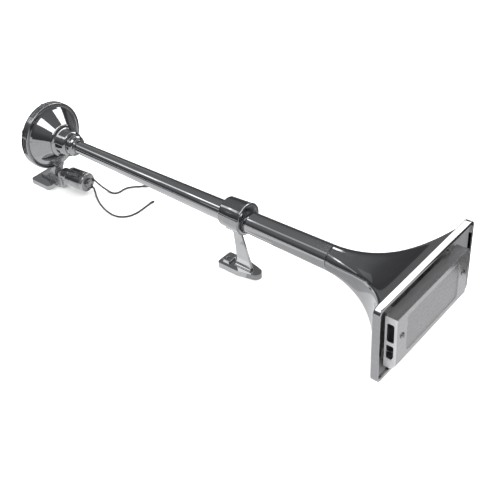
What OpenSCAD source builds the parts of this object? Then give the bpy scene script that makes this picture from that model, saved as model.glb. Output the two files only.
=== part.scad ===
// Air horn for a vehicle roof: diaphragm power chamber, straight flared trumpet
// with a rectangular mouth, cast front support and a side-mounted solenoid valve.
// +X runs along the trumpet towards its mouth, +Z is up, and the origin is the
// centre of the rear pad's underside.

/* [Trumpet] */
// Height of the trumpet's axis above the mounting surface
axis_z = 94; // [90:1:100]
// Rear end of the trumpet tube, inside the hub
tube_x0 = 60; // [58:1:62]
// Where the tube ends and the bell's neck begins
seam_x = 573; // [560:1:590]
// Tube outer radius 100 mm in front of the rear pad's centre
tube_r100 = 10.2; // [9.5:0.1:10.8]
// Growth of the tube's radius for each millimetre of length
tube_taper = 0.0163; // [0.014:0.0001:0.018]
// Wall of the trumpet tube
tube_wall = 1.8; // [1.2:0.1:2.2]

/* [Bell mouth] */
// Front plane of the mouth's flange
mouth_x = 713; // [700:1:725]
// Half the width of the mouth over the flange
mouth_hw = 108; // [100:1:116]
// Half the height of the mouth over the flange
mouth_hh = 56.9; // [52:0.1:60]
// Length of the flange band along the axis
band_len = 10; // [8:1:12]
// Sheet thickness of the flare
bell_wall = 2.2; // [1.8:0.1:2.6]

/* [Mouth cover] */
// Half the width of the pressed cover
cover_hw = 83; // [78:1:86]
// Height of the cover's top above the trumpet's axis
cover_up = 31.5; // [28:0.5:34]
// Depth of the pressed cover
cover_depth = 16.7; // [12:0.1:18]
// Distance of its front face in front of the flange
cover_proud = 9.2; // [6:0.1:11]
// Sheet thickness of the cover
cover_wall = 1.2; // [0.8:0.1:1.6]

/* [Power chamber] */
// Radius of the housing's rim
rim_r = 54.5; // [52:0.5:57]
// Rear face of the rear cover
cover_x0 = 15; // [14:0.5:16]
// Half the length of the rear pad along the trumpet
pad_hx = 22.5; // [20:0.5:24]
// Half the width of the rear pad
pad_hy = 26; // [24:0.5:28]
// Thickness of the rear pad
pad_t = 8; // [7:0.5:9]
// Width of the pedestal web
web_w = 18; // [16:1:20]
// Distance between the two rear mounting bolts
rear_bolts = 33; // [32:0.5:34]

/* [Front support] */
// Rear edge of the front foot
foot_x0 = 380; // [376:1:384]
// Half the width of the front foot
foot_hw = 14.5; // [13:0.5:16]
// Thickness of the front foot
foot_t = 8.8; // [7:0.1:9.5]
// Distance between the two front mounting bolts
front_bolts = 37; // [36:0.5:38]

/* [Solenoid valve] */
// Radius of the solenoid can
can_r = 15.8; // [15:0.1:16.5]
// Turn of the valve's axis away from the trumpet's axis
valve_turn = 4.5; // [0:0.5:6]
// Travel of the plunger
plunger_stroke = 1.8; // [1.5:0.1:2]

/* [Hidden] */

chrome = "#b9bcc0";
dark_chrome = "#6d7074";
$fn = 96;

// the solenoid's own frame: origin at the rear face of the can
sol_pos = [49.5, 3, 23];
gap = 0.05;

// ---------- helpers ----------

// outer radius of the trumpet tube at a station
function tube_r(x) = tube_r100 + tube_taper * (x - 100);

// corner points of a rectangle with rounded corners, counter-clockwise
function rrect(hx, hy, r, n = 6) = [for (c = [0:3], i = [0:n])
  let(sx = [1, -1, -1, 1][c], sy = [1, 1, -1, -1][c], a = 90 * c + 90 * i / n)
  [sx * (hx - r) + r * cos(a), sy * (hy - r) + r * sin(a)]];

// points of an arc
function arc(cx, cy, r, a0, a1, n = 8) = [for (i = [0:n])
  let(a = a0 + (a1 - a0) * i / n) [cx + r * cos(a), cy + r * sin(a)]];

// a body of revolution about the trumpet's axis, from [x, radius] points
module axial(pts) {
  translate([0, 0, axis_z]) rotate([0, 90, 0])
    rotate_extrude() polygon([for (p = pts) [p[1], p[0]]]);
}

// a cylinder along the trumpet's axis
module axial_cyl(x0, x1, r) {
  translate([x0, 0, axis_z]) rotate([0, 90, 0]) cylinder(h = x1 - x0, r = r);
}

// a plate from an outline in X and Z, centred across Y
module side_plate(pts, w) {
  translate([0, w / 2, 0]) rotate([90, 0, 0]) linear_extrude(height = w) polygon(pts);
}

// a plate from an outline in Y and Z, starting at a station
module front_plate(x0, t, pts) {
  translate([x0, 0, 0]) rotate([90, 0, 90]) linear_extrude(height = t) polygon(pts);
}

// puts its children in the solenoid's frame, where Z is the plunger's axis
module sol() {
  translate(sol_pos) rotate([0, 0, valve_turn]) rotate([0, 90, 0]) children();
}

// a ring or disc in the solenoid's frame
module sol_ring(z0, z1, ro, ri = 0) {
  sol() translate([0, 0, z0]) difference() {
    cylinder(h = z1 - z0, r = ro);
    if (ri > 0) translate([0, 0, -1]) cylinder(h = z1 - z0 + 2, r = ri);
  }
}

function unit(v) = v / norm(v);

// one ring of points about p, square to direction d
function ring_pts(p, d, r, n) =
  let(s = unit(cross(abs(d[2]) > 0.9 ? [0, 1, 0] : [0, 0, 1], d)), t = cross(d, s))
  [for (k = [0:n - 1]) let(a = 360 * (k + 0.5) / n) p + r * cos(a) * s + r * sin(a) * t];

// direction of a route at its point i
function route_dir(path, i) =
  let(n = len(path) - 1)
  unit(path[min(i + 1, n)] - path[max(i - 1, 0)]);

// a round tube along a route
module sweep(path, r, n = 8) {
  m = len(path);
  pts = [for (i = [0:m - 1]) each ring_pts(path[i], route_dir(path, i), r, n)];
  faces = concat(
    [[for (k = [n - 1:-1:0]) k]],
    [for (i = [0:m - 2], k = [0:n - 1]) [i * n + k, i * n + (k + 1) % n, (i + 1) * n + k]],
    [for (i = [0:m - 2], k = [0:n - 1]) [i * n + (k + 1) % n, (i + 1) * n + (k + 1) % n, (i + 1) * n + k]],
    [[for (k = [0:n - 1]) (m - 1) * n + k]]);
  polyhedron(points = pts, faces = [for (f = faces) [for (j = [len(f) - 1:-1:0]) f[j]]]);
}

// ---------- power chamber and diaphragm ----------

seat_x = 22.4;   // joint face between the rear cover and the chamber
rim_x = 29.6;    // front of the rim
hub_x = 76;      // front of the hub

// holds a polar copy of its children about the trumpet's axis
module around(count, r, first = 30) {
  for (i = [0:count - 1])
    translate([0, r * cos(first + 360 * i / count), axis_z + r * sin(first + 360 * i / count)])
      rotate([0, 90, 0]) children();
}

module rear_cover() color(chrome) difference() {
  axial(concat(
    [[cover_x0 + 2, 0], [cover_x0 + 2, 15], [cover_x0 + 1, 17], [cover_x0 + 1, 38], [cover_x0 + 2, 40.5], [cover_x0 + 1.2, 43.6], [cover_x0, 44.6]],
    [for (p = arc(cover_x0 + 4.8, rim_r - 4.8, 4.8, 180, 90)) p],
    [[seat_x - 0.6, rim_r], [seat_x, rim_r - 0.6], [seat_x, 41.5], [20, 41.5], [18.8, 39], [18.8, 0]]));
  // clearance and spot-face of each screw
  around(6, 51.2) translate([0, 0, 8]) cylinder(h = 18, r = 1.7, $fn = 32);
  around(6, 51.2) translate([0, 0, 8]) cylinder(h = 9.4, r = 3.3, $fn = 32);
  // breather hole
  axial_cyl(10, 20, 1.5);
}

module housing_screws() color("#8a8d90") around(6, 51.2) {
  // pan head with a cross recess, and its threaded shank
  difference() {
    translate([0, 0, 15.2]) cylinder(h = 2.2, r = 3.1, $fn = 32);
    translate([-1.6, -0.35, 14.6]) cube([3.2, 0.7, 1.8]);
    translate([-0.35, -1.6, 14.6]) cube([0.7, 3.2, 1.8]);
  }
  translate([0, 0, 17.3]) cylinder(h = 9.4, r = 1.6, $fn = 32);
}

module clamp_ring() color("#9a9a98") axial([[seat_x, 41.8], [23.2, 41.8], [23.2, 47.9], [seat_x, 47.9]]);

module diaphragm() color("#c9c6bd") axial([[23.2 + gap, 0], [23.6, 0], [23.6, 47.9], [23.2 + gap, 47.9]]);

module diaphragm_gasket() color("#262626") axial([[23.6, 42.2], [24.4, 42.2], [24.4, 47.9], [23.6, 47.9]]);

module power_chamber() color(chrome) difference() {
  union() {
    // rim, cone, lip and hub turned in one
    axial(concat(
      [[seat_x, 0], [seat_x, rim_r - 0.6], [seat_x + 0.6, rim_r]],
      [for (p = arc(rim_x - 3.4, rim_r - 3.4, 3.4, 90, 0, 6)) p],
      [[rim_x, 49.6], [rim_x - 0.6, 48.8], [rim_x - 0.5, 47.6], [rim_x + 0.2, 46.6], [31, 45]],
      [[51.2, 25.6], [52.4, 25.4], [53, 26], [54.4, 26], [55.2, 25], [56, 22.6], [57.5, 21.4], [66, 21.2], [73.5, 20.2]],
      [for (p = arc(hub_x - 3, 17.2, 3, 75, 10, 5)) p],
      [[hub_x, 16.6], [hub_x, 0]]));
    // web down to the pad, spreading out under the cone
    intersection() {
      front_plate(-16, 80, [[-web_w / 2, 4], [web_w / 2, 4], [web_w / 2, 39], [web_w / 2 + 1.6, 46], [14.5, 52], [20, 58.5], [27, 64.5], [27, 74],
        [-27, 74], [-27, 64.5], [-20, 58.5], [-14.5, 52], [-web_w / 2 - 1.6, 46], [-web_w / 2, 39]]);
      side_plate([[-14, 6], [-14, 12], [-2, 12], [6, 17], [14, 29], [20, 37.2], [22.8, 38.8], [24, 62],
        [44, 68], [52, 72], [54, 68.5], [47, 60.5], [40, 52], [32, 43.3], [25.4, 31], [23, 24], [22, 19], [22, 6]], 60);
    }
    // port block in front of the web
    side_plate([[18, 0.5], [18, 19], [22, 20.5], [29, 20.5], [30.2, 19.5], [30.2, 1.5], [29.2, 0.5]], web_w);
    // pad
    linear_extrude(height = pad_t - 0.8) polygon(rrect(pad_hx, pad_hy, 5.5));
    translate([0, 0, pad_t - 0.8]) linear_extrude(height = 0.8) polygon(rrect(pad_hx - 0.6, pad_hy - 0.6, 4.9));
    // low rib along the pad
    translate([-14, -web_w / 2, pad_t - 1]) cube([30, web_w, 3.6]);
  }
  // recess for the diaphragm and its seals
  axial([[seat_x - 1, 0], [seat_x - 1, 48], [24.4, 48], [24.4, 0]]);
  // annular air space
  axial([[24, 0], [24, 41.5], [31, 41.2], [47.5, 25.5], [49, 22], [49, 0]]);
  // throat bore, nozzle seat and tapped gland
  axial([[48, 0], [48, 10], [52, 10], [52, 15.1], [hub_x + 1, 15.1], [hub_x + 1, 0]]);
  // tapped holes of the rear cover's screws
  around(6, 51.2) translate([0, 0, seat_x - 1]) cylinder(h = 5.6, r = 1.65, $fn = 32);
  // air port and rising passage
  translate([12, 0, 12]) rotate([0, 90, 0]) cylinder(h = 12, r = 2.6);
  translate([20, 0, 12]) rotate([0, 90, 0]) cylinder(h = 12, r = 4.6);
  translate([13.4, 0, 12]) rotate([0, atan2(20.6, 48), 0]) cylinder(h = 52, r = 2.2);
  // tapped holes for the rear mounting bolts
  for (s = [-1, 1]) translate([-6.5, s * rear_bolts / 2, -1]) cylinder(h = 7.4, r = 3.4);
  // locating hole
  translate([-16.2, 0, -1]) cylinder(h = 5, r = 1.8);
}

module throat_nozzle() color("#b08d45") axial([
  [23.6, 5.2], [23.6, 7.2], [24.4, 8], [26.5, 9.2], [47, 9.9], [52, 9.9], [52, 14.9], [56, 14.9], [56, 7.5],
  [50, 6.6], [38, 5]]);

module throat_seal() color("#222222") axial([[56, 8], [59.9, 8], [59.9, 14.8], [56, 14.8]]);

module gland_nut() color(chrome) difference() {
  axial(concat(
    [[tube_x0, 9], [tube_x0, 14.6], [tube_x0 + 1, 15], [hub_x, 15], [hub_x + gap, 15.4], [hub_x + 0.8, 16.3]],
    [[83.6, 16.3], [84.8, 15.4], [86, 13.8], [86.8, 12.4], [90, 12.1], [90.6, 11.6], [90.6, 9]]));
  // tapered seat of the tube, brazed in
  axial([[tube_x0 - 1, 0], [tube_x0 - 1, tube_r(tube_x0 - 1) + gap], [92, tube_r(92) + gap], [92, 0]]);
}

// ---------- trumpet ----------

module trumpet_tube() color(chrome) difference() {
  axial([[tube_x0, tube_r(tube_x0) - tube_wall], [tube_x0, tube_r(tube_x0)], [seam_x, tube_r(seam_x)],
    [seam_x, 16.25], [seam_x - 17, 16.25], [seam_x - 17, tube_r(seam_x - 17) - tube_wall]]);
}

module joint_sleeve() color("#b08d45")
  axial([[seam_x - 13, 14.9], [seam_x - 13, 16.2], [seam_x + 11, 16.2], [seam_x + 11, 14.9]]);

flare_len = mouth_x - band_len + 1 - seam_x;
neck_r = tube_r(seam_x);
flare_hw = mouth_hw - 4.7;
flare_hh = mouth_hh - 3.2;

// half-width, half-height and squareness of the flare, u from 0 at the seam to 1 at the band
function flare_b(u) = neck_r + (flare_hw - neck_r) * (0.217 * u + 0.783 * pow(u, 3.273));
function flare_c(u) = neck_r + (flare_hh - neck_r) * pow(u, 2.659);
function flare_n(u) = 2 + 14.57 * pow(u, 2.23);
function flare_wall(u) = 1.5 + (bell_wall - 1.5) * min(1, u / 0.4);

function spow(v, e) = sign(v) * pow(abs(v), e);

// one section of the flare: a rounded rectangle of half-sizes b and c, circular at n = 2
function section(x, b, c, n, sides = 48) = [for (k = [0:sides - 1])
  let(a = 360 * (k + 0.5) / sides)
  [x, b * spow(cos(a), 2 / n), axis_z + c * spow(sin(a), 2 / n)]];

// a ray's length along d from the centre to a rectangle b by c with corner radius r
function rr_reach(d, b, c, r) = let(y = abs(d[0]), z = abs(d[1]))
  z * b / y <= c - r ? b / y : y * c / z <= b - r ? c / z :
  let(cy = b - r, cz = c - r, p = y * y + z * z, q = y * cy + z * cz)
  (q + sqrt(q * q - p * (cy * cy + cz * cz - r * r))) / p;

// one section of the mouth's flange, drawn in from its outside by dy and dz
function lip_section(x, dy, dz, r, sides = 48) = [for (k = [0:sides - 1])
  let(a = 360 * (k + 0.5) / sides, d = [mouth_hw * spow(cos(a), 0.12), mouth_hh * spow(sin(a), 0.12)],
    t = rr_reach(d, mouth_hw - dy, mouth_hh - dz, r))
  [x, t * d[0], axis_z + t * d[1]]];

bell_rings = 26;
function ring_u(i) = 1 - pow(1 - i / bell_rings, 1.35);

module trumpet_bell() color(chrome) {
  xs = function(u) seam_x + flare_len * u;
  band_x = mouth_x - band_len;
  outer = [for (i = [0:bell_rings]) let(u = ring_u(i))
    section(xs(u), flare_b(u), flare_c(u), flare_n(u))];
  lip = [lip_section(band_x, 1, 1, 8), lip_section(band_x + 1, 0, 0, 9), lip_section(mouth_x - 0.8, 0, 0, 9),
    lip_section(mouth_x, 0.8, 0.8, 8.2), lip_section(mouth_x, 2.6, 4, 6), lip_section(mouth_x - 0.7, 3, 4.7, 5.6),
    lip_section(mouth_x - 5, 4, 4.9, 5.4)];
  inner = [for (i = [bell_rings:-1:0]) let(u = ring_u(i), w = flare_wall(u))
    section(xs(u), flare_b(u) - w, flare_c(u) - w, flare_n(u))];
  rings = concat(outer, lip, inner);
  m = len(rings);
  s = len(rings[0]);
  pts = [for (r = rings) each r];
  polyhedron(points = pts, faces = concat(
    [for (i = [0:m - 1], k = [0:s - 1]) let(j = (i + 1) % m, l = (k + 1) % s) [i * s + k, j * s + k, i * s + l]],
    [for (i = [0:m - 1], k = [0:s - 1]) let(j = (i + 1) % m, l = (k + 1) % s) [i * s + l, j * s + k, j * s + l]]));
}

// ---------- mouth cover ----------

cover_front = mouth_x + cover_proud;
cover_rear = cover_front - cover_depth;
cover_screw_y = 71;

// heights of the cover's top and of its lower rear edge
cover_top = axis_z + cover_up;
cover_low = axis_z - mouth_hh + 5.5;

// side outline of the cover in X and Z: flat top and face, and a slope back under the face
function cover_side(w, back) = [[cover_rear - back, cover_top - w], [cover_front - w * 1.6, cover_top - w],
  [cover_front - w * 1.6, cover_low + 10.6 + w * 0.6], [cover_front - 4 - w * 0.8, cover_low + 5.2 + w * 0.9],
  [mouth_x - w * 0.4, cover_low + 0.9 + w], [mouth_x - 4, cover_low + w], [cover_rear - back, cover_low + w]];

// end outline of the cover in Y and Z
function cover_end(w, r) = let(h = (cover_top - cover_low) / 2)
  [for (p = rrect(cover_hw - w, h - w, r)) [p[0], p[1] + cover_low + h]];

module mouth_cover() color(chrome) difference() {
  intersection() {
    side_plate(cover_side(0, 0), 2 * cover_hw);
    front_plate(cover_rear, cover_depth, cover_end(0, 4));
  }
  // hollow behind the face
  intersection() {
    side_plate(cover_side(cover_wall, 1), 2 * (cover_hw - cover_wall));
    front_plate(cover_rear - 1, cover_depth, cover_end(cover_wall, 3));
  }
  // sunk panel in the face
  front_plate(cover_front - 0.7, 1, [for (p = rrect(60, 28, 5)) [p[0], p[1] + axis_z - 5]]);
  // sound slots in both ends
  for (s = [-1, 1]) intersection() {
    translate([cover_rear - 2, s * cover_hw - 3, 0]) cube([cover_depth + 4, 6, 200]);
    union() {
      side_plate([for (p = rrect(4.85, 14, 2.4)) [cover_front - 8.85 + p[0], axis_z + 7 + p[1]]], 2 * cover_hw + 20);
      side_plate([[cover_front - 4, axis_z - 14], [cover_front - 5.5, axis_z - 12.5], [cover_front - 12.2, axis_z - 12.5],
        [cover_front - 13.7, axis_z - 14], [cover_front - 13.7, axis_z - 32.5], [cover_front - 12.4, axis_z - 34],
        [cover_front - 9, axis_z - 34], [cover_front - 6, axis_z - 32.4], [cover_front - 4, axis_z - 28.6]], 2 * cover_hw + 20);
    }
  }
  for (s = [-1, 1]) translate([cover_front - 4, s * cover_screw_y, axis_z]) rotate([0, 90, 0]) cylinder(h = 6, r = 2.6, $fn = 32);
}

// inner face of the cover's front wall
crown_x = cover_front - cover_wall * 1.6;

module cover_brackets() color(dark_chrome) for (s = [-1, 1]) translate([0, s * cover_screw_y, 0]) difference() {
  // folded strap: a crown behind the cover and two legs to the bell's walls
  side_plate([for (h = [1, -1]) each
    (h > 0
      ? [[crown_x, axis_z + 27], [700.6, axis_z + 31], [700.6, axis_z + 48.4], [694, axis_z + 43.4],
         [694, axis_z + 41.6], [698.8, axis_z + 45.6], [698.8, axis_z + 29.4], [crown_x - 1.8, axis_z + 25.4]]
      : [[crown_x - 1.8, axis_z - 25.4], [698.8, axis_z - 29.4], [698.8, axis_z - 45.6], [694, axis_z - 41.6],
         [694, axis_z - 43.4], [700.6, axis_z - 48.4], [700.6, axis_z - 31], [crown_x, axis_z - 27]])], 12);
  translate([crown_x - 4, 0, axis_z]) rotate([0, 90, 0]) cylinder(h = 6, r = 2.2, $fn = 32);
}

module cover_screws() color(chrome) for (s = [-1, 1]) translate([cover_front, s * cover_screw_y, axis_z]) rotate([0, 90, 0]) {
  difference() {
    union() {
      cylinder(h = 1.2, r = 4.2, $fn = 40);
      translate([0, 0, 1.2]) cylinder(h = 0.9, r1 = 4.2, r2 = 2.9, $fn = 40);
    }
    translate([-2.2, -0.4, 0.9]) cube([4.4, 0.8, 2]);
    translate([-0.4, -2.2, 0.9]) cube([0.8, 4.4, 2]);
  }
  translate([0, 0, -10]) cylinder(h = 10, r = 2, $fn = 32);
}

module cover_nuts() color("#8a8d90") for (s = [-1, 1])
  translate([crown_x - 1.8 - 3.5, s * cover_screw_y, axis_z]) rotate([0, 90, 0]) difference() {
    cylinder(h = 3.5, r = 4.6, $fn = 6);
    translate([0, 0, -1]) cylinder(h = 6, r = 2.05, $fn = 32);
  }

// ---------- front support ----------

collar_x0 = 395;
collar_x1 = 433;
collar_z = axis_z + 3.5;
foot_len = 69.5;

module support_bracket() color(chrome) difference() {
  union() {
    bracket_casting();
    // saddle that the tube is brazed to
    intersection() {
      translate([collar_x0 + 3, 0, collar_z]) rotate([0, 90, 0]) cylinder(h = 30, r = 18.9);
      translate([collar_x0 + 3, -9, collar_z - 24]) cube([30, 18, 8.4]);
    }
  }
  axial([[380, 0], [380, tube_r(380) + gap], [450, tube_r(450) + gap], [450, 0]]);
}

module bracket_casting() {
  difference() {
    union() {
      // flared collar
      translate([collar_x0, 0, collar_z]) rotate([0, 90, 0]) rotate_extrude() polygon([
        [0, 0], [20.4, 0], [21.2, 0.8], [22.2, 18], [23.2, 34], [23.8, 36.4], [23.4, collar_x1 - collar_x0 - 0.8],
        [22.6, collar_x1 - collar_x0], [0, collar_x1 - collar_x0]]);
      // strut
      side_plate([[402, 80], [404, 66], [406.6, 40], [407.4, 18], [405, 11.6], [403, 3], [436, 3], [434.4, 10.6],
        [427, 38], [419.6, 64], [419.4, 80]], 3.8);
      // root of the strut
      front_plate(405.5, 28, [[-5.8, foot_t - 1], [5.8, foot_t - 1], [5.8, foot_t], [3.9, foot_t + 1.1], [2.6, foot_t + 3], [1.8, foot_t + 6],
        [-1.8, foot_t + 6], [-2.6, foot_t + 3], [-3.9, foot_t + 1.1], [-5.8, foot_t]]);
      // foot, tapered to a round tip
      linear_extrude(height = foot_t) polygon(concat(
        arc(foot_x0 + 4, foot_hw - 4, 4, 180, 90, 5),
        [[foot_x0 + 36, foot_hw]],
        arc(foot_x0 + foot_len - 8.4, 0, 8.4, 68, -68, 10),
        [[foot_x0 + 36, -foot_hw]],
        arc(foot_x0 + 4, -foot_hw + 4, 4, 270, 180, 5)));
      // boss of the rear bolt
      translate([390.5, 0, foot_t - 1]) linear_extrude(height = 4) polygon(rrect(7.6, 7.4, 2.2));
    }
    // hole of the collar, a little flared at both ends
    translate([collar_x0 - 1, 0, collar_z]) rotate([0, 90, 0]) cylinder(h = 40, r = 18.6);
    translate([collar_x0 - 0.01, 0, collar_z]) rotate([0, 90, 0]) cylinder(h = 2, r1 = 20, r2 = 18.5);
    translate([collar_x1 - 3, 0, collar_z]) rotate([0, 90, 0]) cylinder(h = 3.01, r1 = 18.5, r2 = 19.6);
    // front and rear bolt holes
    translate([390.5, 0, -1]) cylinder(h = 14, r = 2.5);
    translate([390.5 + front_bolts, 0, -1]) cylinder(h = 6, r = 2.5);
  }
}

// ---------- solenoid valve ----------

module port_seal() color("#222222") translate([30.2, 0, 12]) rotate([0, 90, 0]) difference() {
  cylinder(h = 0.8, r = 7.6);
  translate([0, 0, -1]) cylinder(h = 4, r = 4.9);
}

module valve_body() color(dark_chrome) difference() {
  union() {
    // flange against the port block
    front_plate(31, 5, [for (p = rrect(8.6, 14.8, 3)) [p[0], p[1] + 15.2]]);
    // spigot into the port
    translate([24, 0, 12]) rotate([0, 90, 0]) cylinder(h = 8, r = 4.5);
    // barrel
    sol() translate([0, 0, -15]) cylinder(h = 12, r = 11);
    sol() translate([0, 0, -4]) cylinder(h = 3.9, r = 12.6, $fn = 6);
    // lower block with the falling passage
    translate([34, -6, 5]) cube([8, 12, 14]);
    // inlet boss on the far side
    translate([42.5, 0, 23]) rotate([-90, 0, valve_turn]) cylinder(h = 17, r = 6.6);
  }
  // outlet passage
  translate([20, 0, 12]) rotate([0, 90, 0]) cylinder(h = 20, r = 2.6);
  translate([38.5, 2, 10]) cylinder(h = 13, r = 2);
  sol() translate([0, 0, -13]) cylinder(h = 8, r = 2);
  // valve space around the seat
  sol() translate([0, 0, -8.4]) difference() {
    cylinder(h = 9, r = 8);
    translate([0, 0, -1]) cylinder(h = 2.2, r = 3.2);
  }
  // tapped inlet
  translate([42.5, 0, 23]) rotate([-90, 0, valve_turn]) {
    translate([0, 0, 6]) cylinder(h = 6, r = 3.4);
    translate([0, 0, 10.6]) cylinder(h = 10, r = 4.3);
  }
}

module core_tube() color("#c4c2b8") sol() {
  difference() {
    union() {
      translate([0, 0, -1.4]) cylinder(h = 1.4, r = 7.9);
      translate([0, 0, -1.4]) cylinder(h = 31.4, r = 6);
    }
    translate([0, 0, -2]) cylinder(h = 34, r = 5.2);
  }
}

plunger_z0 = -6.2;
plunger_len = 22;

module plunger() color("#9b9c9e") sol() difference() {
  translate([0, 0, plunger_z0]) cylinder(h = plunger_len, r = 5.12);
  translate([0, 0, plunger_z0 + plunger_len - 6]) cylinder(h = 7, r = 2.9);
  // seal pocket
  translate([0, 0, plunger_z0 - 1]) cylinder(h = 2, r = 3.8);
  // air groove
  translate([4.3, -0.6, plunger_z0 - 1]) cube([3, 1.2, plunger_len + 2]);
}

module plunger_seal() color("#222222") sol() translate([0, 0, plunger_z0 - 1 + gap]) cylinder(h = 2 - gap, r = 3.75);

spring_z0 = plunger_z0 + plunger_len - 6;
spring_z1 = plunger_z0 + plunger_len + plunger_stroke + 4;

module plunger_spring() color("#c9c9c9") sol() {
  turns = 6;
  steps = 12;
  route = [for (i = [0:turns * steps]) let(a = 360 * i / steps)
    [2.2 * cos(a), 2.2 * sin(a), spring_z0 + 0.4 + (spring_z1 - spring_z0 - 0.8) * i / (turns * steps)]];
  sweep(route, 0.32, 6);
}

module pole_piece() color("#9b9c9e") sol() difference() {
  union() {
    translate([0, 0, plunger_z0 + plunger_len + plunger_stroke + 0.05]) cylinder(h = 30 - (plunger_z0 + plunger_len + plunger_stroke + 0.05), r = 5.15);
    translate([0, 0, 29.5]) cylinder(h = 12.7, r = 3);
  }
  translate([0, 0, plunger_z0 + plunger_len + plunger_stroke - 1]) cylinder(h = 5, r = 2.9);
}

module bobbin() color("#d8d4c4") sol() difference() {
  union() {
    translate([0, 0, 1.4]) cylinder(h = 1.6, r = 14);
    translate([0, 0, 1.4]) cylinder(h = 28.4, r = 7.3);
    translate([0, 0, 28.3]) cylinder(h = 1.6, r = 14);
  }
  translate([0, 0, 0]) cylinder(h = 32, r = 6.05);
}

module coil() color("#b5672f") sol_ring(3 + gap, 28.3 - gap, 13.2, 7.3 + gap);

module solenoid_can() color(dark_chrome) sol() difference() {
  rotate_extrude() polygon([[6.1, 0], [can_r - 1, 0], [can_r - 0.3, 0.3], [can_r, 1], [can_r, 31.6], [can_r - 1.2, 31.6],
    [can_r - 1.2, 1.4 - gap], [6.1, 1.4 - gap]]);
}

module end_cap() color(chrome) sol() difference() {
  rotate_extrude() polygon(concat([[3.05, 30.1], [14.4, 30.1], [14.4, 31.6 + gap], [can_r, 31.6 + gap], [can_r, 32.6]],
    arc(can_r - 3, 34.5, 3, 0, 90, 6), [[3.05, 37.5]]));
  // wire holes
  for (p = grommet_at) translate([p[0], p[1], 29]) cylinder(h = 12, r = 2.2, $fn = 32);
}

// wire exits on the end cap, in the solenoid's frame
grommet_at = [[0.5, 11.6], [10.4, 5.6]];

module end_nut() color(chrome) sol() difference() {
  translate([0, 0, 37.5]) rotate([0, 0, 14]) cylinder(h = 3.4, r = 8, $fn = 6);
  translate([0, 0, 36]) cylinder(h = 8, r = 3.05);
}

module wire_grommets() color("#1d1d1f") sol() for (p = grommet_at) translate([p[0], p[1], 0]) difference() {
  union() {
    translate([0, 0, 30.3]) cylinder(h = 7.3, r = 2.15, $fn = 32);
    translate([0, 0, 37.6]) cylinder(h = 1.9, r1 = 2.95, r2 = 2.2, $fn = 32);
  }
  translate([0, 0, 38.3]) cylinder(h = 3, r = 1.7, $fn = 32);
}

// ---------- leads ----------

lead_r = 1.4;

route_a = [[87.2, 17.6, 22.5], [90, 17.9, 22], [92, 18.9, 19.6], [93.6, 20.8, 16], [95.4, 23.2, 11.8], [97.8, 25.4, 7.8],
  [100.8, 27.2, 4.9], [104.4, 28.4, 2.8], [109.5, 28.6, 1.6], [114.5, 28.9, 1.5], [119, 30.4, 1.5], [122.2, 33.8, 1.5], [123.6, 38.8, 1.5],
  [123.6, 44.4, 1.5], [124.2, 50, 1.5], [126.6, 55.4, 1.5], [130.8, 60.4, 1.5], [135.8, 65, 1.5], [140.6, 69.2, 1.5], [144, 72.2, 1.9]];

route_b = [[87.6, 11.6, 12.6], [90.2, 11.9, 12], [92, 12, 9.6], [93, 11.7, 6.4], [95.2, 10.6, 3.4], [98.8, 8.3, 1.9], [103.4, 5.3, 1.5],
  [110, 1.5, 1.5], [117, -2.2, 1.5], [125, -5.8, 1.5], [133, -8.8, 1.5], [141, -11.2, 1.5], [149, -13, 1.5], [157, -14, 1.5],
  [165, -13.8, 1.5], [172, -12, 1.5], [178, -8.6, 1.5], [182.6, -3.8, 1.5], [186, 2, 1.5], [188, 8.6, 1.5], [188.8, 15.6, 1.5],
  [188.8, 22.6, 1.5], [188.4, 29.6, 1.5], [188, 36.4, 1.5], [188, 41.6, 1.9]];

module wire_a() color("#3c3c40") sweep(route_a, lead_r);
module wire_b() color("#3c3c40") sweep(route_b, lead_r);

// crimped blade terminal at the end of a lead
module terminal(route) {
  e = route[len(route) - 1];
  d = e - route[len(route) - 2];
  translate([e[0], e[1], 0]) rotate([0, 0, atan2(d[1], d[0])]) {
    translate([0.15, 0, 1.9]) rotate([0, 90, 0]) cylinder(h = 4.25, r = 1.85, $fn = 32);
    translate([3.6, -2.3, 0.9]) cube([6.2, 4.6, 0.8]);
  }
}

module terminal_a() color("#8f8f8a") terminal(route_a);
module terminal_b() color("#8f8f8a") terminal(route_b);

rear_cover();
housing_screws();
clamp_ring();
diaphragm();
diaphragm_gasket();
power_chamber();
throat_nozzle();
throat_seal();
gland_nut();
trumpet_tube();
joint_sleeve();
trumpet_bell();
mouth_cover();
cover_brackets();
cover_screws();
cover_nuts();
support_bracket();
port_seal();
valve_body();
core_tube();
plunger();
plunger_seal();
plunger_spring();
pole_piece();
bobbin();
coil();
solenoid_can();
end_cap();
end_nut();
wire_grommets();
wire_a();
wire_b();
terminal_a();
terminal_b();
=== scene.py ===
import math

import bmesh
import bpy
from mathutils import Matrix, Vector


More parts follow.
